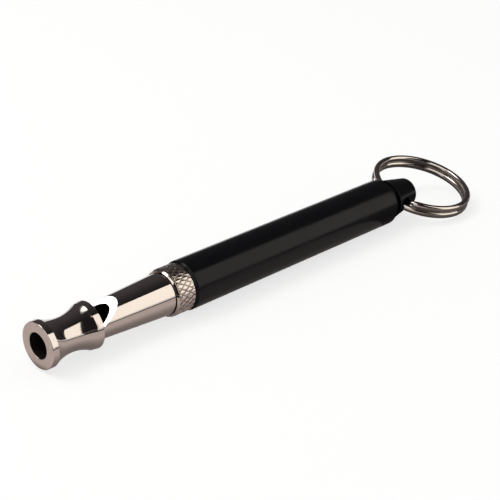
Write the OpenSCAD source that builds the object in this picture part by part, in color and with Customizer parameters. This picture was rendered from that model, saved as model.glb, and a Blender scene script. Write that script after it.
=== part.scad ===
// Adjustable training whistle: a turned whistle head whose threaded tube carries a lock nut and a
// black barrel. The barrel holds the tuning rod, whose piston closes the sounding chamber.
// X runs along the whistle from the mouth face, Z is up, and every size is in millimetres.

/* [Mouthpiece] */
// Radius of the flange that the lips close on
flange_r = 3.6; // [3.4:0.05:3.7]
// Radius of the blowing hole
mouth_r = 2.0; // [1.6:0.05:2.1]
// Depth of the blowing hole, up to the seat of the tube
mouth_depth = 6.1; // [5:0.1:7]
// Smallest radius of the waist
waist_r = 2.72; // [2.7:0.02:2.9]
// Place of the waist along the axis
waist_x = 4.6; // [4.4:0.1:4.8]
// Radius of the hollow sweep of the waist
waist_sweep_r = 7.5; // [7:0.1:8]
// Radius of the bead behind the waist
bead_r = 3.7; // [3.65:0.01:3.8]
// Width of the bead's slightly conical land
bead_land = 1.1; // [0.9:0.05:1.2]
// Length of the mouthpiece
mouthpiece_len = 9.1; // [9:0.05:9.3]

/* [Tube and window] */
// Radius of the tube's bore
bore_r = 2.18; // [2.16:0.01:2.2]
// Radius of the tube's tenon in the mouthpiece
tenon_r = 2.6; // [2.5:0.02:2.62]
// Outer radius of the tube just behind the bead
tube_front_r = 2.66; // [2.64:0.02:2.8]
// Outer radius of the tube where it enters the lock nut
tube_rear_r = 3.37; // [3.2:0.01:3.4]
// Place where the tube enters the lock nut
tube_rear_x = 22.9; // [22:0.1:24]
// Radius of the threaded stem, over the crests
stem_r = 3.0; // [2.9:0.05:3]
// Length of the threaded stem
stem_len = 21.7; // [20:0.1:24]
// Place on the tube's surface where the window's slant begins
window_x = 13.64; // [13:0.02:14.5]
// Slant of the window to the axis
window_slant = 29; // [25:1:35]
// Turn of the window about the axis, towards -Y
window_roll = 9.4; // [0:0.1:20]
// Height of the slit between the windway plug's flat and the bore
slit_h = 0.6; // [0.4:0.05:0.8]

/* [Tuning] */
// Pitch of the thread
thread_pitch = 0.75; // [0.5:0.05:1]
// Turns of the barrel from closed to open
tuning_turns = 8; // [4:1:10]
// Place of the piston's face with the barrel closed
piston_x = 14; // [13.8:0.1:15]
// Length of the piston
piston_len = 5; // [4:0.1:6]
// Radius of the tuning rod
rod_r = 1.1; // [0.9:0.05:1.1]
// Radius of the rubber seal's section
seal_r = 0.48; // [0.45:0.01:0.5]
// Running clearance between turned pieces
run_gap = 0.05; // [0.03:0.01:0.08]

/* [Lock nut] */
// Radius over the knurl
nut_r = 3.83; // [3.7:0.01:3.9]
// Length of the lock nut
nut_len = 3.6; // [3.2:0.1:4]
// Depth of the recess that swallows the end of the tube
nut_recess = 0.9; // [0.6:0.1:1.2]
// Gap between the recess and the tube
nut_gap = 0.16; // [0.12:0.01:0.18]

/* [Barrel] */
// Outer radius of the barrel
barrel_r = 4.0; // [3.95:0.05:4.2]
// Rear end of the barrel
barrel_rear_x = 74.4; // [66:0.1:82]
// Length of the taper at the rear
barrel_taper = 1; // [0.8:0.05:2]
// Radius of the barrel's rear face
barrel_rear_r = 3.28; // [3.25:0.01:3.6]
// Chamfer of the front edge
barrel_chamfer = 0.35; // [0.2:0.05:0.4]
// Length of the threaded stretch inside
barrel_thread_len = 8; // [6:0.5:10]
// Radius of the plain bore behind the thread
barrel_bore_r = 3.15; // [3.12:0.01:3.2]

/* [End plug] */
// Length of the plug's head behind its groove
plug_len = 5.65; // [5.4:0.05:7]
// Radius of the head at its front
plug_front_r = 3.46; // [3.3:0.02:3.6]
// Radius of the head at its rear
plug_rear_r = 2.5; // [2.4:0.02:2.7]
// Round of the rear edge
plug_round = 0.55; // [0.3:0.05:0.7]
// Width of the groove between barrel and head
plug_groove = 0.65; // [0.4:0.05:0.8]
// Radius at the bottom of the groove
plug_groove_r = 2.75; // [2.5:0.05:3.1]
// Length of the spigot in the barrel
plug_spigot = 4; // [3:0.5:6]
// Radius of the cross hole for the ring
ring_hole_r = 1.5; // [1.45:0.05:1.6]
// Distance of the cross hole behind the head's front
ring_hole_in = 1.8; // [1.75:0.05:2.2]

/* [Split ring] */
// Outer radius of the ring
ring_r = 8.95; // [8.6:0.05:10]
// Radial width of the wire
wire_w = 1.05; // [0.8:0.05:1.1]
// Height of the wire
wire_h = 0.98; // [0.8:0.02:1]
// Gap between the two turns
turn_gap = 0.45; // [0.42:0.01:0.48]
// Angle over which the wire steps from one turn to the other
step_angle = 66; // [64:2:70]
// Angle of the step's middle from the cross hole, towards +Y
step_lean = 7; // [5:0.5:8]
// Turn of the ring's plane about the whistle, with the -Y side low
ring_roll = 15; // [0:1:15]
// Droop of the ring about the cross hole
ring_droop = 3.5; // [0:0.5:3.5]

/* [Hidden] */

$fn = 96;
eps = 0.01;
spare = 1;
edge_break = 0.18;
nickel = [0.80, 0.77, 0.74];
bare_brass = [0.78, 0.63, 0.36];
black_oxide = [0.07, 0.07, 0.075];
black_rubber = [0.05, 0.05, 0.05];

// The hollow of the waist runs up to a crease, where the bead's land begins
waist_centre = [waist_r + waist_sweep_r, waist_x];
crease_x = mouthpiece_len - bead_land;
crease_r = waist_centre[0] - sqrt(pow(waist_sweep_r, 2) - pow(crease_x - waist_x, 2));

tube_taper = (tube_rear_r - tube_front_r) / (tube_rear_x - mouthpiece_len);
window_r = tube_front_r + tube_taper * (window_x - mouthpiece_len);
tube_end_x = tube_rear_x + nut_recess - 2 * run_gap;
stem_end_x = tube_end_x + stem_len;

nut_rear_x = tube_rear_x + nut_len;
thread_bore_r = stem_r + run_gap;

barrel_x = nut_rear_x + 2 * run_gap;
plug_x = barrel_rear_x + plug_groove;
plug_end_x = plug_x + plug_len;
ring_hole_x = plug_x + ring_hole_in;
plug_in_x = barrel_rear_x - plug_spigot;
rod_end_x = barrel_rear_x - spare;
rod_hold_x = piston_x + piston_len;

piston_gap = 0.07;
piston_r = bore_r - piston_gap;
seal_gap = 0.03;
seal_ring_r = bore_r - seal_gap - seal_r;
seal_groove_r = seal_ring_r - seal_r - seal_gap;
seal_groove_w = 2 * (seal_r + run_gap);
seal_x = piston_x + 0.5 * piston_len;

wire_mid_r = ring_r - wire_w / 2;
turn_pitch = wire_h + turn_gap;
wire_rest = 0.39; // how far the wire's middle sits ahead of the cross hole's middle
ring_offset = wire_mid_r - wire_rest;
ring_lift = -wire_z(360 + step_lean); // which puts the wire's middle on the cross hole's axis
wire_sides = 8;
wire_edge = 0.3;
steps_per_turn = 60;
wire_steps = round(2 * steps_per_turn * (1 - step_angle / 720));

// Soft step from 0 to 1
function smooth(u) = u <= 0 ? 0 : u >= 1 ? 1 : u * u * (3 - 2 * u);
// Height of the wire's middle at angle a of its two turns, which steps down halfway along
function wire_z(a) = turn_pitch * (0.5 - smooth((a - 360) / step_angle + 0.5));
// Angle of ring i of the wire, from one side of the step to the other
function wire_angle(i) = step_angle / 2 + (720 - step_angle) * i / wire_steps;
// Point of ring i of the wire, dr outside and dz above its middle, with the step at the cross hole
function wire_point(i, dr = 0, dz = 0) =
    let (a = wire_angle(i), turn = a - step_lean)
    [-(wire_mid_r + dr) * cos(turn), -(wire_mid_r + dr) * sin(turn), wire_z(a) + dz];

// Flattened round section of the wire, as corners about its middle
function wire_corner(k) =
    let (a = 360 * (k + 0.5) / wire_sides)
    [sign(cos(a)) * (abs(cos(a)) > 0.5 ? wire_w / 2 : wire_w / 2 - wire_edge),
     sign(sin(a)) * (abs(sin(a)) > 0.5 ? wire_h / 2 : wire_h / 2 - wire_edge * wire_h / wire_w)];

half_turn_steps = round(steps_per_turn / 2);
wire_gaps = [for (i = [0 : wire_steps - half_turn_steps])
             for (j = [i + half_turn_steps : wire_steps]) norm(wire_point(i) - wire_point(j))];
echo(least_gap_between_the_turns = min(wire_gaps) - wire_h);
echo(tuning_travel = tuning_turns * thread_pitch, overall_length = plug_end_x);

// A solid turned about the whistle's axis, from a profile of radius and place along X
module turned() {
    rotate([0, 90, 0]) rotate_extrude() children();
}

// A band of a turned profile from radius r0 to r1 between two places on the axis
module band(r0, r1, x0, x1) {
    translate([r0, x0]) square([r1 - r0, x1 - x0]);
}

module mouthpiece() {
    color(nickel) turned() difference() {
        union() {
            difference() {
                band(0, flange_r, 0, crease_x);
                translate(waist_centre) circle(waist_sweep_r, $fn = 200);
            }
            polygon([[0, crease_x], [crease_r, crease_x], [bead_r, mouthpiece_len - edge_break],
                     [bead_r - edge_break, mouthpiece_len], [0, mouthpiece_len]]);
            band(0, waist_r - eps, 0, mouthpiece_len);
        }
        band(-eps, mouth_r, -eps, mouth_depth + eps);
        band(-eps, tenon_r, mouth_depth, mouthpiece_len + eps);
    }
}

// Places its children on the window's own up direction
module window_turn() {
    rotate([window_roll, 0, 0]) children();
}

module windway_plug() {
    color(bare_brass) difference() {
        turned() band(0, bore_r, mouth_depth, mouthpiece_len);
        window_turn() translate([mouth_depth - spare, -bore_r - spare, bore_r - slit_h])
            cube([mouthpiece_len - mouth_depth + 2 * spare, 2 * (bore_r + spare), slit_h + spare]);
    }
}

// Everything above the window's slanted plane, behind a narrow shoulder at the bead
module window_cut() {
    reach = 10;
    shoulder = 0.1;
    window_turn() intersection() {
        translate([window_x, -reach, window_r]) rotate([0, -window_slant, 0])
            translate([-2 * reach, 0, 0]) cube([2 * reach + 2 * spare, 2 * reach, reach]);
        translate([mouthpiece_len + shoulder, -reach, -reach]) cube(2 * reach);
    }
}

module whistle_tube() {
    lead_in = 0.5;
    color(nickel) difference() {
        turned() difference() {
            polygon([
                [0, mouth_depth], [tenon_r, mouth_depth], [tenon_r, mouthpiece_len],
                [tube_front_r, mouthpiece_len], [tube_rear_r, tube_rear_x], [tube_rear_r, tube_end_x],
                [stem_r, tube_end_x], [stem_r, stem_end_x - lead_in], [stem_r - lead_in, stem_end_x],
                [0, stem_end_x]
            ]);
            band(-eps, bore_r, mouth_depth - eps, stem_end_x + eps);
        }
        window_cut();
    }
}

module tuning_rod() {
    face_edge = 0.2;
    color(bare_brass) turned() difference() {
        polygon([
            [0, piston_x], [piston_r - face_edge, piston_x], [piston_r, piston_x + face_edge],
            [piston_r, rod_hold_x - face_edge], [piston_r - face_edge, rod_hold_x],
            [rod_r, rod_hold_x], [rod_r, rod_end_x], [0, rod_end_x]
        ]);
        band(seal_groove_r, bore_r, seal_x - seal_groove_w / 2, seal_x + seal_groove_w / 2);
    }
}

module piston_seal() {
    color(black_rubber) turned() translate([seal_ring_r, seal_x]) circle(seal_r, $fn = 48);
}

module lock_nut() {
    recess_r = tube_rear_r + nut_gap;
    recess_x = tube_rear_x + nut_recess;
    color(nickel) turned() polygon([
        [recess_r, tube_rear_x], [nut_r - edge_break, tube_rear_x], [nut_r, tube_rear_x + edge_break],
        [nut_r, nut_rear_x - edge_break], [nut_r - edge_break, nut_rear_x], [thread_bore_r, nut_rear_x],
        [thread_bore_r, recess_x], [recess_r, recess_x]
    ]);
}

module barrel() {
    thread_end_x = barrel_x + barrel_thread_len;
    color(black_oxide) turned() polygon([
        [thread_bore_r, barrel_x], [barrel_r - barrel_chamfer, barrel_x],
        [barrel_r, barrel_x + barrel_chamfer], [barrel_r, barrel_rear_x - barrel_taper],
        [barrel_rear_r, barrel_rear_x], [barrel_bore_r, barrel_rear_x],
        [barrel_bore_r, thread_end_x], [thread_bore_r, thread_end_x]
    ]);
}

// Places its children about the cross hole, turned to the ring's roll
module at_ring_hole() {
    translate([ring_hole_x, 0, 0]) rotate([ring_roll, 0, 0]) children();
}

module end_plug() {
    round_x = plug_end_x - plug_round;
    color(black_oxide) difference() {
        turned() difference() {
            union() {
                band(0, barrel_bore_r, plug_in_x, barrel_rear_x);
                band(0, plug_groove_r, barrel_rear_x - eps, plug_x + eps);
                polygon([[0, plug_x], [plug_front_r, plug_x], [plug_rear_r, round_x], [0, round_x]]);
                band(0, plug_rear_r - plug_round, round_x - eps, plug_end_x);
                translate([plug_rear_r - plug_round, round_x]) circle(plug_round);
            }
            band(-eps, rod_r, plug_in_x - eps, rod_end_x);
        }
        at_ring_hole() rotate([90, 0, 0]) cylinder(r = ring_hole_r, h = 4 * barrel_r, center = true);
    }
}

// One unbroken wire of two turns, stepping from the upper turn to the lower one between its ends
module split_ring() {
    points = [for (i = [0 : wire_steps]) for (k = [0 : wire_sides - 1])
              let (c = wire_corner(k)) wire_point(i, c[0], c[1])];
    sides = [for (i = [0 : wire_steps - 1]) for (k = [0 : wire_sides - 1])
             let (a = i * wire_sides + k, b = i * wire_sides + (k + 1) % wire_sides)
             each [[a, b, a + wire_sides], [b, b + wire_sides, a + wire_sides]]];
    first_end = [for (k = [1 : wire_sides - 2]) [0, k + 1, k]];
    last = wire_steps * wire_sides;
    last_end = [for (k = [1 : wire_sides - 2]) [last, last + k, last + k + 1]];
    color(nickel) at_ring_hole() rotate([0, ring_droop, 0]) translate([ring_offset, 0, ring_lift])
        polyhedron(points, concat(sides, first_end, last_end));
}

mouthpiece();
windway_plug();
whistle_tube();
tuning_rod();
piston_seal();
lock_nut();
barrel();
end_plug();
split_ring();
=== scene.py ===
"""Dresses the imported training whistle: turned, knurled and wound pieces, their finishes, and a small studio."""

import math

import bmesh
import bpy
from mathutils import Matrix, Vector


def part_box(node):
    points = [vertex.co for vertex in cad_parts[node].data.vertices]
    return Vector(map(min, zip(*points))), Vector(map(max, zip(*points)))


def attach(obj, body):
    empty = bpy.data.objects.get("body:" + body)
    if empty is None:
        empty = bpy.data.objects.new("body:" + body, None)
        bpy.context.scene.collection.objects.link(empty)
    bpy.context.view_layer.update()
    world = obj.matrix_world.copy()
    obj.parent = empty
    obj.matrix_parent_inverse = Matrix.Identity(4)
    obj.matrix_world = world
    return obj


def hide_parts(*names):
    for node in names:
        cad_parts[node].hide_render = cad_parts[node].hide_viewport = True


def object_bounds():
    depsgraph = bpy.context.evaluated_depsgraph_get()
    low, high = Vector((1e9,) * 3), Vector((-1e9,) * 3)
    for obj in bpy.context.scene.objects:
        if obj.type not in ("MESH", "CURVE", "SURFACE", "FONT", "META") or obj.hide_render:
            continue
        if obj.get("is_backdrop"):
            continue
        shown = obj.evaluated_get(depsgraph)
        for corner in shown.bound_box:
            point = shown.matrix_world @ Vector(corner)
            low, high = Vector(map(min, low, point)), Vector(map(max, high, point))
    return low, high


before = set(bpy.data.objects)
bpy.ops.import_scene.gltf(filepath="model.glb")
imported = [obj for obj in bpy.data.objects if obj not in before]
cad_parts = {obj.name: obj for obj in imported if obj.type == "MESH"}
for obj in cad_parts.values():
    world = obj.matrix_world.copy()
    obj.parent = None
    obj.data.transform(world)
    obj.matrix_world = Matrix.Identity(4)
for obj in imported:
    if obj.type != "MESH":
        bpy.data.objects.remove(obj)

bl_info = {
    "name": "Training whistle",
    "version": (1, 0, 0),
    "blender": (4, 5, 0),
    "location": "View3D > Sidebar > Whistle",
    "description": "Models the pieces of an adjustable training whistle over its CAD frame",
    "category": "Mesh",
}

MM = 0.001
TOUCHING = 1e-7  # metres: points that are closer than this become one
SMOOTH_ANGLE = math.radians(18)  # an edge that bends more than this stays sharp
MIX_A, MIX_B = 6, 7  # the colour sockets of a Mix node, whose names its other kinds share
LOOP_X, LOOP_ROLL = 76.85, 15  # the end plug's cross hole: its place in millimetres and its roll in degrees
HEAD_X = 0.025  # metres: the place on the axis that the mirrored cards stand around
FINISHES = {}


def linear(code):
    """Scene-linear colour of an sRGB hex value."""
    parts = [int(code[i:i + 2], 16) / 255 for i in (1, 3, 5)]
    return tuple(p / 12.92 if p <= 0.04045 else ((p + 0.055) / 1.055) ** 2.4 for p in parts)


def size(name, description, millimetres):
    """A length property whose default is given in millimetres."""
    return bpy.props.FloatProperty(name=name, description=description, default=millimetres * MM, unit="LENGTH")


def tint(name, description, code):
    """A colour property whose default is an sRGB hex value."""
    return bpy.props.FloatVectorProperty(name=name, description=description, default=linear(code), size=3,
                                         subtype="COLOR", min=0, max=1)


class WhistleSizes(bpy.types.PropertyGroup):
    """Sizes of the details that the solids leave plain"""
    edge_round: size("Edge round", "Round of the turned edges", 0.12)
    window_slant: bpy.props.FloatProperty(name="Window slant", description="Slant of the window to the axis",
                                          default=math.radians(29), subtype="ANGLE")
    window_roll: bpy.props.FloatProperty(name="Window roll", description="Turn of the window about the axis",
                                         default=math.radians(9.4), subtype="ANGLE")
    thread_pitch: size("Thread pitch", "Distance between two crests of the stem's thread", 0.75)
    knurl_depth: size("Knurl depth", "Depth of the knurl's grooves", 0.17)
    knurl_count: bpy.props.IntProperty(name="Knurl count", description="Diamonds around the lock nut", default=25)
    knurl_rows: bpy.props.FloatProperty(name="Knurl rows", description="Diamonds along the lock nut", default=2.25)
    wire_width: size("Wire width", "Width of the split ring's wire", 1.05)
    wire_height: size("Wire height", "Height of the split ring's wire", 1.19)


class WhistleFinishes(bpy.types.PropertyGroup):
    """Colours of the finishes"""
    nickel: tint("Nickel plate", "Polished nickel plate on the head and the nut", "#CEC5BE")
    face: tint("Turned face", "Nickel plate over the turned mouth face", "#CFC4BD")
    # the grooves are darkened in patches from this colour, partly as soil and partly as painted shade
    groove: tint("Groove", "Dull nickel plate in the grooves of the knurl", "#DCD0C6")
    # the bores' colour is dark partly from tarnish and partly as painted shade
    bore: tint("Drilled bore", "Bare brass in the bores, dulled by breath", "#2C211A")
    brass: tint("Bare brass", "Turned brass of the plug and the rod", "#C39A4E")
    black: tint("Black anodising", "Dyed oxide layer on the barrel and the end plug", "#0E0E10")
    rubber: tint("Rubber", "Moulded rubber of the seal", "#161616")
    wire: tint("Wire", "Nickel plate on the spring steel wire", "#D2C9C2")


class WhistleStage(bpy.types.PropertyGroup):
    """The studio around the whistle"""
    floor: tint("Floor", "Colour of the floor", "#9A9998")
    # the tent, the card and the table glow, and only the metal mirrors them: painted reflections
    tent: tint("Tent", "Colour of the dark cloth that the metal mirrors", "#2D2B2C")
    card: tint("Card", "Colour of the bright card that the metal mirrors", "#FFFAF2")
    # the table cloths are darkened towards the whistle: a painted shadow of it in what the metal mirrors
    table: tint("Table", "Colour of the dull cloth under the whistle that the metal mirrors", "#CFC3C0")
    lens: bpy.props.FloatProperty(name="Lens", description="Focal length on a 36 mm sensor", default=96.48,
                                  unit="CAMERA")


def link(tree, node, sockets):
    """Links sockets to the inputs of a node by name or index."""
    for key, socket in sockets.items():
        tree.links.new(socket, node.inputs[key])


def add_node(tree, kind, links=None, **settings):
    """Adds a node, sets its properties and its inputs by name or index, and links sockets to its inputs."""
    node = tree.nodes.new(kind)
    for key, value in settings.pop("inputs", {}).items():
        node.inputs[key].default_value = value
    for key, value in settings.items():
        setattr(node, key, value)
    link(tree, node, links or {})
    return node


def new_material(name):
    """An empty node material with its shader, and the shader's node."""
    material = bpy.data.materials.new(name)
    material.use_nodes = True
    tree = material.node_tree
    return material, tree, tree.nodes["Principled BSDF"]


def new_finish(name):
    """A material for a piece, as new_material gives it, and the place on the piece that its patterns read."""
    material, tree, shader = new_material(name)
    return material, tree, shader, add_node(tree, "ShaderNodeTexCoord").outputs["Object"]


def per_mm(millimetres):
    """Noise scale whose features are about this size on a piece modelled in metres."""
    return 1 / (millimetres * MM)


def wave_scale(millimetres):
    """Wave scale whose lines are this far apart, since a wave's phase grows by 20 over each unit of scale."""
    return math.tau / 20 * per_mm(millimetres)


def opaque(colour, share=1):
    """A colour at full alpha, made darker or lighter by a share."""
    return (*[c * share for c in colour], 1)


def polished_nickel(finishes):
    """Brass, nickel plated and polished: a warm mirror, whose gloss is broken a little by wiping marks and
    by the faint orange peel of the plating."""
    material, tree, shader, where = new_finish("polished_nickel_plated_brass")
    shader.inputs["Metallic"].default_value = 1
    # finger smears about 4 mm across, which change the gloss and dull the colour a little
    smear = add_node(tree, "ShaderNodeTexNoise", {"Vector": where},
                     inputs={"Scale": per_mm(4), "Detail": 4, "Roughness": 0.6})
    gloss = add_node(tree, "ShaderNodeMapRange", {"Value": smear.outputs["Fac"]},
                     inputs={"From Min": 0.35, "From Max": 0.7, "To Min": 0.035, "To Max": 0.11})
    warm = add_node(tree, "ShaderNodeMix", {"Factor": smear.outputs["Fac"]}, data_type="RGBA",
                    inputs={MIX_A: opaque(finishes.nickel), MIX_B: opaque(finishes.nickel, 0.9)})
    # plating ripple, drawn at 0.5 mm so that it shows
    peel = add_node(tree, "ShaderNodeTexNoise", {"Vector": where},
                    inputs={"Scale": per_mm(0.5), "Detail": 2})
    bump = add_node(tree, "ShaderNodeBump", {"Height": peel.outputs["Fac"]},
                    inputs={"Strength": 0.03, "Distance": 0.02 * MM})
    link(tree, shader, {"Base Color": warm.outputs["Result"], "Roughness": gloss.outputs["Result"],
                        "Normal": bump.outputs["Normal"]})
    return material


def turned_nickel(finishes):
    """Nickel plate over a face left as the lathe cut it: satin, with fine rings about the axis."""
    material, tree, shader, where = new_finish("turned_nickel_plated_face")
    shader.inputs["Metallic"].default_value = 1
    shader.inputs["Roughness"].default_value = 0.3
    # the lathe's feed is about 0.05 mm, drawn at 1.13 mm so that it shows
    rings = add_node(tree, "ShaderNodeTexWave", {"Vector": where}, wave_type="RINGS",
                     rings_direction="X", inputs={"Scale": wave_scale(1.131), "Distortion": 0.4, "Detail": 2})
    cloud = add_node(tree, "ShaderNodeTexNoise", {"Vector": where},
                     inputs={"Scale": per_mm(1.5), "Detail": 4})
    shade = add_node(tree, "ShaderNodeMix", {"Factor": cloud.outputs["Fac"]}, data_type="RGBA",
                     inputs={MIX_A: opaque(finishes.face), MIX_B: opaque(finishes.face, 0.82)})
    bump = add_node(tree, "ShaderNodeBump", {"Height": rings.outputs["Fac"]},
                    inputs={"Strength": 0.12, "Distance": 0.01 * MM})
    link(tree, shader, {"Base Color": shade.outputs["Result"], "Normal": bump.outputs["Normal"]})
    return material


def soiled_and_shaded_groove(finishes):
    """Nickel plate in the knurl's grooves, where no polishing wheel reaches: a duller mirror, darkened in patches
    partly by a little soil and partly as painted shade, so the diamonds stand out."""
    material, tree, shader, where = new_finish("shaded_unpolished_nickel_plated_groove")
    shader.inputs["Metallic"].default_value = 1
    soil_and_shade = add_node(tree, "ShaderNodeTexNoise", {"Vector": where},
                    inputs={"Scale": per_mm(0.8), "Detail": 4})
    # darker patches in the grooves: partly soil, partly painted shade
    shade = add_node(tree, "ShaderNodeMix", {"Factor": soil_and_shade.outputs["Fac"]}, data_type="RGBA",
                     inputs={MIX_A: opaque(finishes.groove), MIX_B: opaque(finishes.groove, 0.6)})
    rough = add_node(tree, "ShaderNodeMapRange", {"Value": soil_and_shade.outputs["Fac"]},
                     inputs={"To Min": 0.2, "To Max": 0.35})
    link(tree, shader, {"Base Color": shade.outputs["Result"], "Roughness": rough.outputs["Result"]})
    return material


def shaded_drilled_bore(finishes):
    """Drilled brass dulled by moist breath: rough, and dark from tarnish and painted shade, so the openings look deep.
    """
    material, tree, shader, where = new_finish("drilled_brass_dulled_and_shaded")
    # the tarnish covers part of the metal
    shader.inputs["Metallic"].default_value = 0.6
    stain = add_node(tree, "ShaderNodeTexNoise", {"Vector": where},
                     inputs={"Scale": per_mm(1.2), "Detail": 5})
    shade = add_node(tree, "ShaderNodeMix", {"Factor": stain.outputs["Fac"]}, data_type="RGBA",
                     inputs={MIX_A: opaque(finishes.bore), MIX_B: opaque(finishes.bore, 0.5)})
    rough = add_node(tree, "ShaderNodeMapRange", {"Value": stain.outputs["Fac"]},
                     inputs={"To Min": 0.45, "To Max": 0.7})
    link(tree, shader, {"Base Color": shade.outputs["Result"], "Roughness": rough.outputs["Result"]})
    return material


def turned_brass(finishes):
    """Bare brass from the lathe: yellow, with feed rings along the piece and a dull tarnish in patches."""
    material, tree, shader, where = new_finish("turned_bare_brass")
    shader.inputs["Metallic"].default_value = 1
    # feed lines of 0.08 mm, drawn at 1.57 mm so that they show
    lines = add_node(tree, "ShaderNodeTexWave", {"Vector": where}, wave_type="BANDS",
                     bands_direction="X", inputs={"Scale": wave_scale(1.5708), "Distortion": 0.3, "Detail": 1})
    tarnish = add_node(tree, "ShaderNodeTexNoise", {"Vector": where},
                       inputs={"Scale": per_mm(3), "Detail": 5})
    shade = add_node(tree, "ShaderNodeMix", {"Factor": tarnish.outputs["Fac"]}, data_type="RGBA",
                     inputs={MIX_A: opaque(finishes.brass), MIX_B: opaque(finishes.brass, 0.55)})
    rough = add_node(tree, "ShaderNodeMapRange", {"Value": tarnish.outputs["Fac"]},
                     inputs={"To Min": 0.2, "To Max": 0.45})
    bump = add_node(tree, "ShaderNodeBump", {"Height": lines.outputs["Fac"]},
                    inputs={"Strength": 0.25, "Distance": 0.01 * MM})
    link(tree, shader, {"Base Color": shade.outputs["Result"], "Roughness": rough.outputs["Result"],
                        "Normal": bump.outputs["Normal"]})
    return material


def black_anodising(finishes):
    """Aluminium with a dyed and sealed oxide layer: near black, satin, with the fine turning lines still under it
    and a few spots rubbed glossy by the hand."""
    material, tree, shader, where = new_finish("satin_black_anodised_aluminium")
    # the dye and the etched grain take most of the gloss that clear oxide has, so the IOR is low
    shader.inputs["IOR"].default_value = 1.25
    rub = add_node(tree, "ShaderNodeTexNoise", {"Vector": where},
                   inputs={"Scale": per_mm(6), "Detail": 5, "Roughness": 0.6})
    rough = add_node(tree, "ShaderNodeMapRange", {"Value": rub.outputs["Fac"]},
                     inputs={"From Min": 0.3, "From Max": 0.7, "To Min": 0.17, "To Max": 0.27})
    # turning lines of 0.1 mm, drawn at 1.88 mm so that they show
    lines = add_node(tree, "ShaderNodeTexWave", {"Vector": where}, wave_type="BANDS",
                     bands_direction="X", inputs={"Scale": wave_scale(1.885), "Distortion": 0.6, "Detail": 2})
    # etched grain under the oxide, drawn at 0.15 mm
    grain = add_node(tree, "ShaderNodeTexNoise", {"Vector": where},
                     inputs={"Scale": per_mm(0.15), "Detail": 2})
    height = add_node(tree, "ShaderNodeMath", {0: lines.outputs["Fac"], 1: grain.outputs["Fac"]}, operation="ADD")
    bump = add_node(tree, "ShaderNodeBump", {"Height": height.outputs["Value"]},
                    inputs={"Strength": 0.06, "Distance": 0.01 * MM})
    shade = add_node(tree, "ShaderNodeMix", {"Factor": rub.outputs["Fac"]}, data_type="RGBA",
                     inputs={MIX_A: opaque(finishes.black), MIX_B: opaque(finishes.black, 1.5)})
    link(tree, shader, {"Base Color": shade.outputs["Result"], "Roughness": rough.outputs["Result"],
                        "Normal": bump.outputs["Normal"]})
    return material


def moulded_rubber(finishes):
    """Black rubber from a mould: dull, with a fine bloom."""
    material, tree, shader, where = new_finish("moulded_black_rubber")
    bloom = add_node(tree, "ShaderNodeTexNoise", {"Vector": where},
                     inputs={"Scale": per_mm(0.6), "Detail": 4})
    shade = add_node(tree, "ShaderNodeMix", {"Factor": bloom.outputs["Fac"]}, data_type="RGBA",
                     inputs={MIX_A: opaque(finishes.rubber), MIX_B: opaque(finishes.rubber, 2)})
    rough = add_node(tree, "ShaderNodeMapRange", {"Value": bloom.outputs["Fac"]},
                     inputs={"To Min": 0.5, "To Max": 0.75})
    link(tree, shader, {"Base Color": shade.outputs["Result"], "Roughness": rough.outputs["Result"]})
    return material


def plated_wire(finishes):
    """Drawn spring steel, nickel plated: bright, with small rub marks that break its gloss."""
    material, tree, shader, where = new_finish("nickel_plated_spring_wire")
    shader.inputs["Metallic"].default_value = 1
    rub = add_node(tree, "ShaderNodeTexNoise", {"Vector": where},
                   inputs={"Scale": per_mm(1.6), "Detail": 5, "Roughness": 0.65})
    rough = add_node(tree, "ShaderNodeMapRange", {"Value": rub.outputs["Fac"]},
                     inputs={"From Min": 0.3, "From Max": 0.7, "To Min": 0.07, "To Max": 0.2})
    shade = add_node(tree, "ShaderNodeMix", {"Factor": rub.outputs["Fac"]}, data_type="RGBA",
                     inputs={MIX_A: opaque(finishes.wire), MIX_B: opaque(finishes.wire, 0.8)})
    link(tree, shader, {"Base Color": shade.outputs["Result"], "Roughness": rough.outputs["Result"]})
    return material


def finish_named(maker):
    """The finish that a function makes, made once and shared by the pieces."""
    name = maker.__name__
    if name not in FINISHES:
        FINISHES[name] = maker(bpy.context.scene.whistle_finishes)
    return FINISHES[name]


def rounded(corners, bends=6):
    """Outline through corners of x, radius and round, in millimetres, with an arc at each round."""
    most = 0.49  # share of an edge that a round may take
    outline = []
    for i, (x, r, fillet) in enumerate(corners):
        corner = Vector((x, r))
        if not fillet:
            outline.append(corner)
            continue
        back = Vector(corners[i - 1][:2]) - corner
        on = Vector(corners[(i + 1) % len(corners)][:2]) - corner
        half = back.angle(on) / 2
        reach = min(fillet / math.tan(half), most * back.length, most * on.length)
        fillet = reach * math.tan(half)
        middle = corner + (back.normalized() + on.normalized()).normalized() * fillet / math.sin(half)
        start = (corner + back.normalized() * reach - middle).normalized()
        end = (corner + on.normalized() * reach - middle).normalized()
        outline += [middle + start.slerp(end, k / bends) * fillet for k in range(bends + 1)]
    return outline


def arc(x, r, radius, start, end, steps):
    """Points on a circle about x, r from one angle to another, in millimetres and degrees."""
    angles = [math.radians(start + (end - start) * k / steps) for k in range(steps + 1)]
    return [Vector((x + radius * math.cos(a), r + radius * math.sin(a))) for a in angles]


def spaced(outline, gap):
    """The closed outline with points added so that none are further apart than the gap, in millimetres."""
    points = []
    for a, b in zip(outline, outline[1:] + outline[:1]):
        parts = max(1, math.ceil((b - a).length / gap))
        points += [a.lerp(b, k / parts) for k in range(parts)]
    return points


def fresh_point(name, place):
    """Starts a piece as one selected vertex at a place, in edit mode."""
    bpy.ops.object.select_all(action="DESELECT")
    bpy.ops.mesh.primitive_plane_add(size=MM)
    piece = bpy.context.object
    piece.name = piece.data.name = name
    bpy.ops.object.mode_set(mode="EDIT")
    bpy.ops.mesh.select_all(action="SELECT")
    bpy.ops.mesh.merge(type="CENTER")
    bpy.ops.transform.translate(value=place)
    return piece


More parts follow.
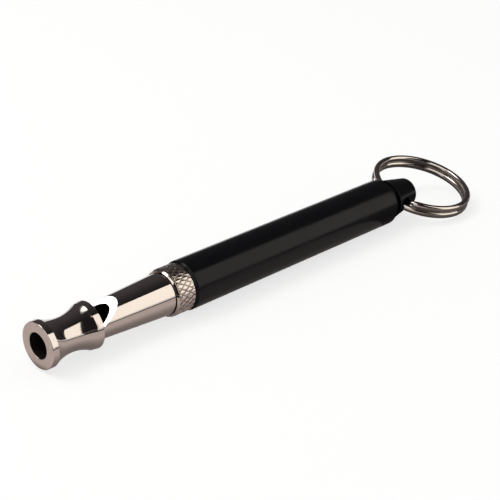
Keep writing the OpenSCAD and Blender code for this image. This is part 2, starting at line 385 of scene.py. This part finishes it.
def drawn(name, points):
    """Starts a piece as a closed line through points, in metres, and stays in edit mode with all selected."""
    piece = fresh_point(name, points[0])
    for a, b in zip(points, points[1:] + points[:1]):
        bpy.ops.mesh.extrude_region_move(TRANSFORM_OT_translate={"value": b - a})
    bpy.ops.mesh.select_all(action="SELECT")
    bpy.ops.mesh.remove_doubles(threshold=TOUCHING)
    bpy.ops.mesh.select_all(action="SELECT")
    return piece


def faced_out(piece):
    """Turns all faces of the piece that is edited outwards, and leaves edit mode."""
    bpy.ops.mesh.select_all(action="SELECT")
    bpy.ops.mesh.normals_make_consistent(inside=False)
    bpy.ops.mesh.select_mode(type="VERT")
    bpy.ops.object.mode_set(mode="OBJECT")
    return piece


def turned(name, outline, sides=192):
    """A turned piece: its closed outline of x and radius, in millimetres, spun about the whistle's axis."""
    piece = drawn(name, [Vector((p.x, 0, p.y)) * MM for p in outline])
    bpy.ops.mesh.spin(steps=sides, angle=math.tau, center=(0, 0, 0), axis=(1, 0, 0))
    bpy.ops.mesh.select_all(action="SELECT")
    bpy.ops.mesh.remove_doubles(threshold=TOUCHING)
    bpy.ops.mesh.delete_loose()
    return faced_out(piece)


def block(name, side, reach, roll):
    """A block to cut with: its outline of x and z, in millimetres, drawn out by its reach to both sides and rolled
    about the whistle's axis."""
    cutter = drawn(name, [Vector((x, -reach, z)) * MM for x, z in side])
    bpy.ops.mesh.edge_face_add()
    bpy.ops.mesh.extrude_region_move(TRANSFORM_OT_translate={"value": (0, 2 * reach * MM, 0)})
    faced_out(cutter)
    cutter.data.transform(Matrix.Rotation(roll, 4, "X"))
    return cutter


def pick_rims():
    """Selects the open rims of the piece that is edited, as edges."""
    bpy.ops.mesh.select_mode(type="EDGE")
    bpy.ops.mesh.select_all(action="DESELECT")
    bpy.ops.mesh.select_non_manifold()


def pick(piece):
    """Makes a piece the only selected one and the active one."""
    bpy.ops.object.select_all(action="DESELECT")
    piece.select_set(True)
    bpy.context.view_layer.objects.active = piece


def scrap(helper):
    """Deletes a helper that has done its work."""
    bpy.ops.object.select_all(action="DESELECT")
    helper.select_set(True)
    bpy.ops.object.delete()


def apply_modifier(piece, kind, **settings):
    """Adds a modifier with its settings and applies it."""
    pick(piece)
    modifier = piece.modifiers.new(kind.lower(), kind)
    for key, value in settings.items():
        setattr(modifier, key, value)
    bpy.ops.object.modifier_apply(modifier=modifier.name)


def cut_away(piece, cutter):
    """Cuts the cutter's shape out of a piece and deletes the cutter."""
    apply_modifier(piece, "BOOLEAN", operation="DIFFERENCE", solver="EXACT", object=cutter)
    scrap(cutter)


def join_shell(piece, shell):
    """Joins another closed shell into a piece."""
    pick(piece)
    shell.select_set(True)
    bpy.ops.object.join()


def dress(piece, node, body, slot, *makers):
    """Shades a finished piece, gives it its finishes and lets it stand for its CAD node."""
    if not piece.data.polygons:
        raise RuntimeError(f"{piece.name} has no faces")
    pick(piece)
    bpy.ops.object.shade_smooth_by_angle(angle=SMOOTH_ANGLE)
    piece.data.materials.clear()
    for maker in makers:
        piece.data.materials.append(finish_named(maker))
    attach(piece, body)
    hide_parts(node)


def paint(piece, index, test):
    """Gives the faces that pass a test on centre, in millimetres, and normal another of the piece's finishes."""
    for face in piece.data.polygons:
        if test(face.center / MM, face.normal):
            face.material_index = index


def radius_of(place):
    """Distance of a place from the whistle's axis."""
    return math.hypot(place.y, place.z)


def outwards(place, normal):
    """How far a face at a place looks away from the whistle's axis, from -1 to 1."""
    return (normal.y * place.y + normal.z * place.z) / radius_of(place)


def ends(node):
    """Front and rear end of a CAD node along the whistle, in millimetres."""
    return [corner.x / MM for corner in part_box(node)]


# In the operators, lengths are in millimetres from the mouth face or the axis, and a row of an outline is a place
# along the axis, a radius and the round of that corner.


class WHISTLE_OT_mouthpiece(bpy.types.Operator):
    """Turned mouthpiece with its flange, waist and bead"""
    bl_idname = "whistle.mouthpiece"
    bl_label = "Mouthpiece"

    def execute(self, context):
        edge, end = context.scene.whistle_sizes.edge_round / MM, ends("mouthpiece")[1]
        flange_x, flange, bead, bore, socket, seat_x = 4, 3.6, 3.7, 2.0, 2.61, 6.1
        # the waist is an arc about a place outside it, from the flange to a crease in front of the bead's land
        waist_x, waist_r, sweep, land = 4.6, 10.22, 7.5, 1.1
        start = math.degrees(math.asin((waist_r - flange) / sweep))
        stop = math.degrees(math.acos((end - land - waist_x) / sweep))
        face = rounded([(seat_x, bore, 0), (0, bore, edge), (0, flange, edge), (flange_x, flange, 0)])[:-1]
        hollow = arc(waist_x, waist_r, sweep, start - 180, -stop, steps=40)
        rear = rounded([(*hollow[-2], 0), (*hollow[-1], 0.04), (end, bead, 0.15), (end, socket, 0.05),
                        (seat_x, socket, 0)])[1:]
        piece = turned("mouthpiece_turned", spaced(face + hollow[:-1] + rear, gap=0.6))
        dress(piece, "mouthpiece", "head", "nickel_plate", polished_nickel, turned_nickel, shaded_drilled_bore)
        near, forwards = 0.02, -0.8
        paint(piece, 1, lambda c, n: c.x < near and n.x < forwards or c.x < edge and radius_of(c) < bore + edge)
        # the bore gets the dark finish, whose darkness is partly painted shade
        paint(piece, 2, lambda c, n: radius_of(c) < bore + near and c.x > edge)
        return {"FINISHED"}


class WHISTLE_OT_tube(bpy.types.Operator):
    """Tapered tube with its slanted window, and the threaded stem"""
    bl_idname = "whistle.tube"
    bl_label = "Tube and stem"

    def execute(self, context):
        sizes = context.scene.whistle_sizes
        start, end = ends("whistle_tube")
        bead_x, collar_x, shoulder_x = 9.1, 22.9, 23.7
        bore, spigot, neck, collar, core = 2.18, 2.6, 2.66, 3.37, 2.56
        outline = rounded([
            (start, bore, 0), (start, spigot, 0), (bead_x, spigot, 0), (bead_x, neck, 0), (collar_x, collar, 0),
            (shoulder_x, collar, 0.1), (shoulder_x, core, 0), (end, core, 0.2), (end, bore, 0)])
        piece = turned("whistle_tube_turned", spaced(outline, gap=0.9), sides=256)
        cut_away(piece, self.window_block(sizes))
        # the thread stays clear of the shoulder and of the stem's tip
        run_out, lead_in = 0.7, 0.6
        join_shell(piece, self.thread(sizes, shoulder_x + run_out, end - lead_in, core))
        dress(piece, "whistle_tube", "head", "nickel_plate", polished_nickel, shaded_drilled_bore)
        # the faces that look inwards, into the bore, get the dark finish, which is partly painted shade
        inwards = -0.9
        paint(piece, 1, lambda c, n: outwards(c, n) < inwards)
        return {"FINISHED"}

    def window_block(self, sizes):
        """The block that is cut out for the window: a slanted floor behind an upright front."""
        front_x, top_x, top_r, past, reach = 9.2, 13.64, 2.894, 2, 6
        rise = math.tan(sizes.window_slant)
        side = [(front_x, top_r - (top_x - front_x) * rise), (top_x + past, top_r + past * rise),
                (top_x + past, reach), (front_x, reach)]
        return block("window_block", side, reach, sizes.window_roll)

    def thread(self, sizes, start, end, core):
        """The ridge of the stem's thread: its section wound about the axis and closed at both ends."""
        pitch, steps = sizes.thread_pitch / MM, 48
        # the foot is sunk a little into the core
        crest, foot = 3.0, core - 0.04
        section = [(0, foot), (0.4 * pitch, crest), (0.52 * pitch, crest), (0.92 * pitch, foot)]
        ridge = drawn("stem_thread", [Vector((start + x, 0, r)) * MM for x, r in section])
        bpy.ops.object.mode_set(mode="OBJECT")
        turns = int((end - start) / pitch)
        apply_modifier(ridge, "SCREW", axis="X", angle=math.tau, screw_offset=sizes.thread_pitch, iterations=turns,
                       steps=steps, render_steps=steps, use_merge_vertices=True, merge_threshold=TOUCHING)
        bpy.ops.object.mode_set(mode="EDIT")
        pick_rims()
        bpy.ops.mesh.edge_face_add()
        return faced_out(ridge)


class WHISTLE_OT_windway_plug(bpy.types.Operator):
    """Brass plug in the tube's mouth end, with the flat that leaves the air slit"""
    bl_idname = "whistle.windway_plug"
    bl_label = "Windway plug"

    def execute(self, context):
        start, end = ends("windway_plug")
        radius, flat, past, reach = 2.17, 1.58, 1, 4
        outline = rounded([(start, 0, 0), (start, radius, 0.1), (end, radius, 0.06), (end, 0, 0)])
        piece = turned("windway_plug_turned", spaced(outline, gap=0.5), sides=128)
        side = [(start - past, flat), (end + past, flat), (end + past, reach), (start - past, reach)]
        cut_away(piece, block("flat_block", side, reach, context.scene.whistle_sizes.window_roll))
        dress(piece, "windway_plug", "head", "bare_brass", turned_brass)
        return {"FINISHED"}


class WHISTLE_OT_tuning_rod(bpy.types.Operator):
    """Brass tuning rod that ends in the grooved piston"""
    bl_idname = "whistle.tuning_rod"
    bl_label = "Tuning rod"

    def execute(self, context):
        start, end = ends("tuning_rod")
        length, piston, rod, edge = 5, 2.11, 1.1, 0.15
        # the seal's groove is in the middle of the piston, this wide to both sides
        groove, width = 1.16, 0.53
        back, seal_x = start + length, start + length / 2
        outline = rounded([
            (start, 0, 0), (start, piston, edge), (seal_x - width, piston, 0.04), (seal_x - width, groove, 0.05),
            (seal_x + width, groove, 0.05), (seal_x + width, piston, 0.04), (back, piston, edge), (back, rod, 0.1),
            (end, rod, 0.1), (end, 0, 0)])
        piece = turned("tuning_rod_turned", spaced(outline, gap=1.5), sides=128)
        dress(piece, "tuning_rod", "barrel", "bare_brass", turned_brass)
        return {"FINISHED"}


class WHISTLE_OT_piston_seal(bpy.types.Operator):
    """Rubber ring in the piston's groove"""
    bl_idname = "whistle.piston_seal"
    bl_label = "Piston seal"

    def execute(self, context):
        low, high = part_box("piston_seal")
        middle, section = (low.x + high.x) / 2 / MM, (high.x - low.x) / 2 / MM
        ring = high.z / MM - section
        # the mould's parting line stands proud on the outside, as the one point that the arc leaves out
        proud, half_line = 0.02, 6
        around_back = arc(middle, ring, section - proud, 90 - half_line, half_line - 270, steps=40)
        outline = [Vector((middle, ring + section))] + around_back
        piece = turned("piston_seal_moulded", outline, sides=128)
        dress(piece, "piston_seal", "seal", "seal_rubber", moulded_rubber)
        return {"FINISHED"}


class WHISTLE_OT_lock_nut(bpy.types.Operator):
    """Lock nut with its diamond knurl"""
    bl_idname = "whistle.lock_nut"
    bl_label = "Lock nut"

    def execute(self, context):
        sizes = context.scene.whistle_sizes
        low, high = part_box("lock_nut")
        start, end, top = low.x / MM, high.x / MM, high.z / MM
        root = top - sizes.knurl_depth / MM
        recess, bore, seat_x = 3.53, 3.05, start + 0.9
        # the body passes under the grooves, and the knurl is a band that is closed over it
        first, chamfer, sunk, slope, behind = start + 0.36, 0.275, 0.04, 0.05, 0.02
        outline = rounded([
            (start, recess, 0.02), (start, top - chamfer, 0.02), (first, top - sunk, 0.03),
            (first + slope, root - sunk, 0), (end, root - sunk, 0.03), (end, bore, 0.08), (seat_x, bore, 0),
            (seat_x, recess, 0)], bends=4)
        piece = turned("lock_nut_turned", spaced(outline, gap=0.8))
        join_shell(piece, self.knurl(sizes, first, end - behind, root))
        dress(piece, "lock_nut", "lock_nut", "nickel_plate", polished_nickel, soiled_and_shaded_groove)
        # the grooves get the darker finish, which is partly painted shade
        paint(piece, 1, lambda c, n: c.x > first and self.in_groove(radius_of(c) - root, outwards(c, n)))
        return {"FINISHED"}

    def in_groove(self, rise, outward):
        """Whether a face of the knurl is a wall or the floor of a groove, by its rise over the grooves and how far it
        looks outwards."""
        sideways, crown, floor = 0.3, 0.85, 0.01
        return sideways < outward < crown or outward > sideways and rise < floor

    def knurl(self, sizes, start, end, root):
        """The knurl: a fine grid is split along two crossing sets of lines, and each diamond, made one face, rises in
        two steps to a low crown."""
        fine, on_line = 4, 0.01  # cells of the grid to a diamond, and how near to a line counts as on it
        count, rows = sizes.knurl_count * fine, round(sizes.knurl_rows * fine)

        def cell(place):
            """Diamonds along and around the nut up to a place on the band."""
            return ((place.x / MM - start) / (end - start) * sizes.knurl_rows,
                    math.atan2(place.y, place.z) / math.tau * sizes.knurl_count)

        bpy.ops.object.select_all(action="DESELECT")
        bpy.ops.mesh.primitive_circle_add(vertices=count, radius=root * MM, location=(start * MM, 0, 0),
                                          rotation=(0, math.pi / 2, 0))
        band = bpy.context.object
        band.name = "knurl"
        bpy.ops.object.transform_apply(location=True, rotation=True, scale=True)
        bpy.ops.object.mode_set(mode="EDIT")
        bpy.ops.mesh.select_all(action="SELECT")
        for _ in range(rows):
            bpy.ops.mesh.extrude_region_move(TRANSFORM_OT_translate={"value": ((end - start) / rows * MM, 0, 0)})
        bpy.ops.mesh.select_all(action="SELECT")
        bpy.ops.mesh.normals_make_consistent(inside=False)
        bpy.ops.mesh.poke(offset=root * MM * (1 - math.cos(math.pi / count)))
        bpy.ops.mesh.select_mode(type="EDGE")
        bpy.ops.mesh.select_all(action="DESELECT")
        shape = bmesh.from_edit_mesh(band.data)
        for edge in shape.edges:
            cells = [cell(v.co) for v in edge.verts]
            lines = [u + w for u, w in cells], [u - w for u, w in cells]
            edge.select_set(any(all(abs(k - round(k)) < on_line for k in line) for line in lines))
        bmesh.update_edit_mesh(band.data)
        bpy.ops.mesh.edge_split()
        bpy.ops.mesh.select_mode(type="FACE")
        bpy.ops.mesh.select_all(action="SELECT")
        bpy.ops.mesh.dissolve_faces()
        bpy.ops.mesh.select_all(action="SELECT")
        bpy.ops.mesh.dissolve_limited(angle_limit=math.radians(20))
        bpy.ops.mesh.select_all(action="DESELECT")
        # the slivers that the rear edge cuts off the last row stay as deep as the grooves
        last = math.floor(2 * sizes.knurl_rows) / 2
        shape = bmesh.from_edit_mesh(band.data)
        for face in shape.faces:
            along, across = (k - last for k in cell(face.calc_center_median()))
            face.select_set(abs(across - round(across)) > along)
        bmesh.update_edit_mesh(band.data)
        # a diamond's wall and how far it stays under the crest, its crown's rim and the rise of that, and its peak
        wall, short, rim, rise, peak = (k * MM for k in (0.1, 0.035, 0.09, 0.03, 0.02))
        bpy.ops.mesh.inset(thickness=wall, depth=sizes.knurl_depth - short, use_boundary=True)
        bpy.ops.mesh.inset(thickness=rim, depth=rise, use_boundary=True)
        bpy.ops.mesh.poke(offset=peak)
        bpy.ops.mesh.select_all(action="SELECT")
        bpy.ops.mesh.remove_doubles(threshold=TOUCHING)
        # an inner wall, at this share of the radius, closes the band
        inner = 0.95
        pick_rims()
        bpy.ops.mesh.extrude_region_move()
        bpy.ops.transform.resize(value=(1, inner, inner), center_override=(0, 0, 0))
        bpy.ops.mesh.bridge_edge_loops()
        return faced_out(band)


class WHISTLE_OT_barrel(bpy.types.Operator):
    """Long black barrel with its rear taper"""
    bl_idname = "whistle.barrel"
    bl_label = "Barrel"

    def execute(self, context):
        low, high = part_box("barrel")
        start, end, top = low.x / MM, high.x / MM, high.z / MM
        edge, taper, tail, bore, thread, thread_end = 0.35, 1, 3.28, 3.15, 3.05, start + 8
        outline = rounded([
            (start, thread, 0.1), (start, top - edge, 0.1), (start + edge, top, 0.2), (end - taper, top, 0.12),
            (end, tail, 0.06), (end, bore, 0), (thread_end, bore, 0), (thread_end, thread, 0)])
        piece = turned("barrel_turned", spaced(outline, gap=2), sides=256)
        dress(piece, "barrel", "barrel", "black_anodising", black_anodising)
        return {"FINISHED"}


class WHISTLE_OT_end_plug(bpy.types.Operator):
    """End plug with its groove and the cross hole for the ring"""
    bl_idname = "whistle.end_plug"
    bl_label = "End plug"

    def execute(self, context):
        start, end = ends("end_plug")
        barrel_end, head_x, rod_end = 74.4, 75.05, 73.4
        rod_hole, shank, neck, shoulder, tip, cross_hole, depth = 1.12, 3.14, 2.75, 3.46, 2.4, 1.5, 16
        outline = rounded([
            (start, rod_hole, 0), (start, shank, 0.2), (barrel_end, shank, 0), (barrel_end, neck, 0.1),
            (head_x, neck, 0.1), (head_x, shoulder, 0.08), (end, tip, 0.55), (end, 0, 0), (rod_end, 0, 0),
            (rod_end, rod_hole, 0)])
        piece = turned("end_plug_turned", spaced(outline, gap=0.5))
        bpy.ops.object.select_all(action="DESELECT")
        bpy.ops.mesh.primitive_cylinder_add(vertices=96, radius=cross_hole * MM, depth=depth * MM,
                                            location=(LOOP_X * MM, 0, 0),
                                            rotation=(math.radians(90 + LOOP_ROLL), 0, 0))
        cut_away(piece, bpy.context.object)
        dress(piece, "end_plug", "barrel", "black_anodising", black_anodising)
        return {"FINISHED"}


class WHISTLE_OT_split_ring(bpy.types.Operator):
    """Split ring: one wire of two turns that lie on each other and step over once"""
    bl_idname = "whistle.split_ring"
    bl_label = "Split ring"

    def execute(self, context):
        sizes = context.scene.whistle_sizes
        width, height = sizes.wire_width / MM, sizes.wire_height / MM
        outer, gap, rows, bends = 8.95, 0.01, 260, 24
        # how the ring hangs in the cross hole: its tilt there, and its middle behind and above the hole's
        tilt, behind, above = math.radians(3.5), 8.035, 0.226
        place = (Matrix.Translation((LOOP_X, 0, 0)) @ Matrix.Rotation(math.radians(LOOP_ROLL), 4, "X")
                 @ Matrix.Rotation(tilt, 4, "Y") @ Matrix.Translation((behind, 0, above)))
        path = self.two_turns(outer - width / 2, height + gap, rows)
        # the drawn wire is flattened: a round whose sides are pressed a little flat
        section = [Vector((width / 2 * self.pressed(math.cos(a)), height / 2 * self.pressed(math.sin(a)), 0))
                   for a in (math.tau * k / bends for k in range(bends))]
        wire, die = self.line("split_ring_wire", path, False), self.line("wire_section", section, True)
        # both ends are ground down over about their last millimetre
        points = wire.data.splines[0].points
        for k, grind in enumerate((0.45, 0.8, 0.95)):
            points[k].radius = points[rows - k].radius = grind
        wire.data.twist_mode = "Z_UP"
        wire.data.bevel_mode = "OBJECT"
        wire.data.bevel_object = die
        wire.data.use_fill_caps = True
        pick(wire)
        bpy.ops.object.convert(target="MESH")
        bpy.ops.object.mode_set(mode="EDIT")
        bpy.ops.mesh.select_all(action="SELECT")
        bpy.ops.mesh.remove_doubles(threshold=TOUCHING)
        faced_out(wire)
        wire.data.transform(Matrix.Scale(MM, 4) @ place @ Matrix.Scale(1 / MM, 4))
        scrap(die)
        dress(wire, "split_ring", "ring", "ring_steel", plated_wire)
        return {"FINISHED"}

    def two_turns(self, middle, pitch, rows):
        """The wire's path at its middle radius: nearly two turns, a pitch apart, with one step down half way."""
        step, lean = 66, 7  # degrees that the step takes, and that its middle is turned by
        path = []
        for k in range(rows + 1):
            turn = step / 2 + (720 - step) * k / rows
            share = min(1, max(0, (turn - 360) / step + 0.5))
            lift = pitch * (0.5 - share * share * (3 - 2 * share))
            angle = math.radians(turn - lean + 180)
            path.append(Vector((middle * math.cos(angle), middle * math.sin(angle), lift)))
        return path

    def pressed(self, share):
        """A cosine or sine drawn a little towards a square."""
        squareness = 0.92  # 1 is round, and less is squarer
        return math.copysign(abs(share) ** squareness, share)

    def line(self, name, points, closed):
        """A straight-edged curve through points, in millimetres."""
        bpy.ops.object.select_all(action="DESELECT")
        bpy.ops.curve.primitive_nurbs_path_add()
        thing = bpy.context.object
        thing.name = thing.data.name = name
        thing.data.dimensions = "3D"
        thing.data.splines.clear()
        spline = thing.data.splines.new("POLY")
        spline.points.add(len(points) - 1)
        spline.use_cyclic_u = closed
        for point, place in zip(spline.points, points):
            point.co = (*(place * MM), 1)
        return thing


def aim(thing, target):
    """Turns a lamp or the camera, which look along their own -Z, at a place."""
    thing.rotation_euler = (Vector(target) - thing.location).to_track_quat("-Z", "Y").to_euler()


def around(azimuth, elevation, distance):
    """A place seen from the whistle's head at an azimuth from +X towards +Y and an elevation, in degrees."""
    turn, rise = math.radians(azimuth), math.radians(elevation)
    return Vector((HEAD_X + distance * math.cos(rise) * math.cos(turn), distance * math.cos(rise) * math.sin(turn),
                   distance * math.sin(rise)))


def seen_rays(tree):
    """Two sockets: 1 for what the camera sees straight, and 1 for what it sees in metal's gloss or through glass."""
    path = add_node(tree, "ShaderNodeLightPath")
    mirrored = add_node(tree, "ShaderNodeMath", operation="MAXIMUM",
                        links={0: path.outputs["Is Glossy Ray"], 1: path.outputs["Is Transmission Ray"]})
    return path.outputs["Is Camera Ray"], mirrored.outputs["Value"]


class WHISTLE_OT_stage(bpy.types.Operator):
    """Floor, soft light, the cards that the metal mirrors, and the camera"""
    bl_idname = "whistle.stage"
    bl_label = "Stage"

    def execute(self, context):
        stage = context.scene.whistle_stage
        self.floor(stage)
        self.soft_box("top_soft_box", place=(-0.23, 0.25, 0.56), width=0.5, height=0.4, radiance=2.6)
        self.tent("tent_wall", azimuths=(-140, 168), elevations=(-0.3, 50), colour=stage.tent)
        self.tent("tent_roof", azimuths=(-180, 180), elevations=(50, 90), colour=stage.tent)
        # the bright cards stand at a distance from the head, with each corner at an azimuth and an elevation
        for name, distance, ways in (
                ("bright_card", 0.6, ((-37, -0.3), (-22, 35), (-76, 61), (-77, -0.3))),
                ("upper_card", 0.62, ((163, 70), (171, 49), (-142, 35), (-123, 54)))):
            card = self.flat_card(name, [around(*way, distance) for way in ways])
            self.mirrored(card, stage.card, strength=1.6)
        # the cloths lie under the whistle, with each corner at x and y, and are even or fade away from the axis
        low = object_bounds()[0][2] / MM
        for name, corners, colour, strength, fade in (
                # the table cloth is darkest along the axis: a painted shadow of the whistle
                ("table_cloth", [(-1, -25), (72, -25), (72, 30), (-1, 30)], stage.table, 1, (0.002, 0.009, 0.38, 1.05)),
                ("mouth_cloth", [(-35, -25), (-1, -25), (-1, 30), (-35, 30)], stage.table, 1.15, None),
                # the ring cloth is darkest under the ring: a painted shadow of it
                ("ring_cloth", [(72, -25), (125, -25), (125, 30), (72, 30)], stage.table, 1, (0.001, 0.024, 0.1, 0.5)),
                # a dark strip along the table's front edge: painted shade of that edge
                ("shaded_table_edge", [(-35, -42), (125, -42), (125, -25), (-35, -25)], stage.tent, 1, None),
                ("dark_apron", [(-300, -300), (68, -300), (13.4, -42), (-300, -42)], stage.tent, 1, None)):
            card = self.flat_card(name, [Vector((x, y, low)) * MM for x, y in corners])
            self.mirrored(card, colour, strength, fade=fade)
        self.world(context.scene)
        self.camera(context.scene, stage)
        context.scene.view_settings.view_transform = "Standard"
        return {"FINISHED"}

    def floor(self, stage):
        """A large pale floor under the whistle, which looks white and keeps the whistle's shadow. The camera looks
        through it at the white behind, so that the ring still shows where it swings below the floor."""
        unlit = 0.72  # share of white that the light on the floor leaves to be filled up
        below = 0.02 * MM
        bpy.ops.object.select_all(action="DESELECT")
        bpy.ops.mesh.primitive_plane_add(size=3, location=(0.04, 0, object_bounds()[0][2] - below))
        floor = bpy.context.object
        floor.name = "floor"
        material, tree, shader = new_material("pale_paper_floor")
        shader.inputs["Base Color"].default_value = opaque(stage.floor)
        shader.inputs["Roughness"].default_value = 0.9
        shader.inputs["Specular IOR Level"].default_value = 0
        shader.inputs["Emission Color"].default_value = (1, 1, 1, 1)
        straight, mirrored = seen_rays(tree)
        glow = add_node(tree, "ShaderNodeMapRange", {"Value": mirrored}, inputs={"To Min": 0, "To Max": unlit})
        tree.links.new(glow.outputs["Result"], shader.inputs["Emission Strength"])
        sight = add_node(tree, "ShaderNodeMapRange", {"Value": straight}, inputs={"To Min": 0, "To Max": unlit})
        clear = add_node(tree, "ShaderNodeBsdfTransparent", {"Color": sight.outputs["Result"]})
        both = add_node(tree, "ShaderNodeAddShader", {0: shader.outputs["BSDF"], 1: clear.outputs["BSDF"]})
        tree.links.new(both.outputs["Shader"], tree.nodes["Material Output"].inputs["Surface"])
        floor.data.materials.append(material)
        floor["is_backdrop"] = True

    def soft_box(self, name, place, width, height, radiance):
        """A rectangular soft light of a mean brightness, aimed across at the whistle's axis. Its cloth is brightest in
        the middle and fades to its frame."""
        bpy.ops.object.light_add(type="AREA", location=place)
        lamp = bpy.context.object
        lamp.name = name
        lamp.data.shape = "RECTANGLE"
        lamp.data.size, lamp.data.size_y = width, height
        lamp.data.energy = radiance * math.pi * width * height
        aim(lamp, (place[0], 0, 0))
        lamp.data.use_nodes = True
        tree = lamp.data.node_tree
        where = add_node(tree, "ShaderNodeNewGeometry")
        centred = add_node(tree, "ShaderNodeVectorMath", {0: where.outputs["Parametric"]}, operation="SUBTRACT",
                           inputs={1: (0.5, 0.5, 0)})
        spread = add_node(tree, "ShaderNodeVectorMath", {0: centred.outputs["Vector"]}, operation="LENGTH")
        level = add_node(tree, "ShaderNodeMapRange", {"Value": spread.outputs["Value"]},
                         interpolation_type="SMOOTHSTEP",
                         inputs={"From Min": 0.15, "From Max": 0.6, "To Min": 2, "To Max": 0.1})
        tree.links.new(level.outputs["Result"], tree.nodes["Emission"].inputs["Strength"])

    def tent(self, name, azimuths, elevations, colour):
        """A curved wall of glowing cloth between two azimuths and elevations, lighter towards +Y: a painted reflection.
        """
        radius, bands, panels = 0.8, 16, 64
        low, high = elevations
        points = [around(azimuths[0], low + (high - low) * k / bands, radius) for k in range(bands + 1)]
        wall = fresh_point(name, points[0])
        for a, b in zip(points, points[1:]):
            bpy.ops.mesh.extrude_region_move(TRANSFORM_OT_translate={"value": b - a})
        bpy.ops.mesh.select_all(action="SELECT")
        turn = math.radians(azimuths[1] - azimuths[0])
        bpy.ops.mesh.spin(steps=panels, angle=-turn, center=(HEAD_X, 0, 0), axis=(0, 0, 1))
        bpy.ops.object.mode_set(mode="OBJECT")
        self.mirrored(wall, colour, strength=1, fold="ADD", fade=(-0.5, 0.75, 0.65, 3))

    def flat_card(self, name, corners):
        """A flat card between its corners."""
        card = drawn(name, corners)
        bpy.ops.mesh.edge_face_add()
        bpy.ops.object.mode_set(mode="OBJECT")
        return card

    def mirrored(self, card, colour, strength, fold="ABSOLUTE", fade=None):
        """Makes a card a glowing sheet that only the metal mirrors, a painted reflection, of an even brightness or one
        that fades: by the distance from the axis, or from -Y to +Y where the fold is ADD. A fade is its start and end
        in metres and its two levels."""
        material, tree, shader = new_material(card.name + "_cloth")
        shader.inputs["Base Color"].default_value = (0, 0, 0, 1)
        shader.inputs["Specular IOR Level"].default_value = 0
        shader.inputs["Emission Color"].default_value = opaque(colour)
        shader.inputs["Emission Strength"].default_value = strength
        if fade:
            where = add_node(tree, "ShaderNodeTexCoord")
            place = add_node(tree, "ShaderNodeSeparateXYZ", {"Vector": where.outputs["Object"]})
            across = add_node(tree, "ShaderNodeMath", {0: place.outputs["Y"]}, operation=fold, inputs={1: 0})
            level = add_node(tree, "ShaderNodeMapRange", {"Value": across.outputs["Value"]},
                             interpolation_type="SMOOTHSTEP",
                             inputs=dict(zip(("From Min", "From Max", "To Min", "To Max"), fade)))
            tree.links.new(level.outputs["Result"], shader.inputs["Emission Strength"])
        card.data.materials.append(material)
        card.visible_camera = card.visible_diffuse = card.visible_shadow = card.visible_transmission = False
        card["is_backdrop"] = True

    def world(self, scene):
        """White for what is seen and mirrored, and a plain even fill for the light."""
        world = bpy.data.worlds.new("studio")
        scene.world = world
        world.use_nodes = True
        tree = world.node_tree
        back = tree.nodes["Background"]
        back.inputs["Color"].default_value = (1, 1, 1, 1)
        shown = add_node(tree, "ShaderNodeMath", dict(enumerate(seen_rays(tree))), operation="MAXIMUM")
        level = add_node(tree, "ShaderNodeMapRange", {"Value": shown.outputs["Value"]},
                         inputs={"To Min": 0.6, "To Max": 1})
        tree.links.new(level.outputs["Result"], back.inputs["Strength"])

    def camera(self, scene, stage):
        """The camera at the photograph's place and angle."""
        place, sight = (-0.094224, -0.136927, 0.090289), Vector((0.63928, 0.64452, -0.41941))
        bpy.ops.object.camera_add(location=place)
        camera = bpy.context.object
        camera.data.lens = stage.lens
        camera.data.sensor_width = 36
        camera.data.clip_start = 0.01
        aim(camera, camera.location + sight)
        scene.camera = camera


class WHISTLE_PT_pieces(bpy.types.Panel):
    """The whistle's pieces"""
    bl_idname = "WHISTLE_PT_pieces"
    bl_label = "Training whistle"
    bl_space_type = "VIEW_3D"
    bl_region_type = "UI"
    bl_category = "Whistle"

    def draw(self, context):
        for operator in OPERATORS:
            self.layout.operator(operator.bl_idname)
        for group in (context.scene.whistle_sizes, context.scene.whistle_finishes, context.scene.whistle_stage):
            for name in group.__annotations__:
                self.layout.prop(group, name)


OPERATORS = (WHISTLE_OT_mouthpiece, WHISTLE_OT_tube, WHISTLE_OT_windway_plug, WHISTLE_OT_tuning_rod,
             WHISTLE_OT_piston_seal, WHISTLE_OT_lock_nut, WHISTLE_OT_barrel, WHISTLE_OT_end_plug,
             WHISTLE_OT_split_ring, WHISTLE_OT_stage)
GROUPS = {"whistle_sizes": WhistleSizes, "whistle_finishes": WhistleFinishes, "whistle_stage": WhistleStage}


def register():
    for group in GROUPS.values():
        bpy.utils.register_class(group)
    for name, group in GROUPS.items():
        setattr(bpy.types.Scene, name, bpy.props.PointerProperty(type=group))
    for kind in OPERATORS + (WHISTLE_PT_pieces,):
        bpy.utils.register_class(kind)


def unregister():
    for kind in OPERATORS + (WHISTLE_PT_pieces,):
        bpy.utils.unregister_class(kind)
    for name, group in GROUPS.items():
        delattr(bpy.types.Scene, name)
        bpy.utils.unregister_class(group)


def main():
    """Builds the whistle and its stage."""
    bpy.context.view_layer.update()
    register()
    for operator in OPERATORS:
        group, name = operator.bl_idname.split(".")
        getattr(getattr(bpy.ops, group), name)()


if __name__ == "__main__":
    main()
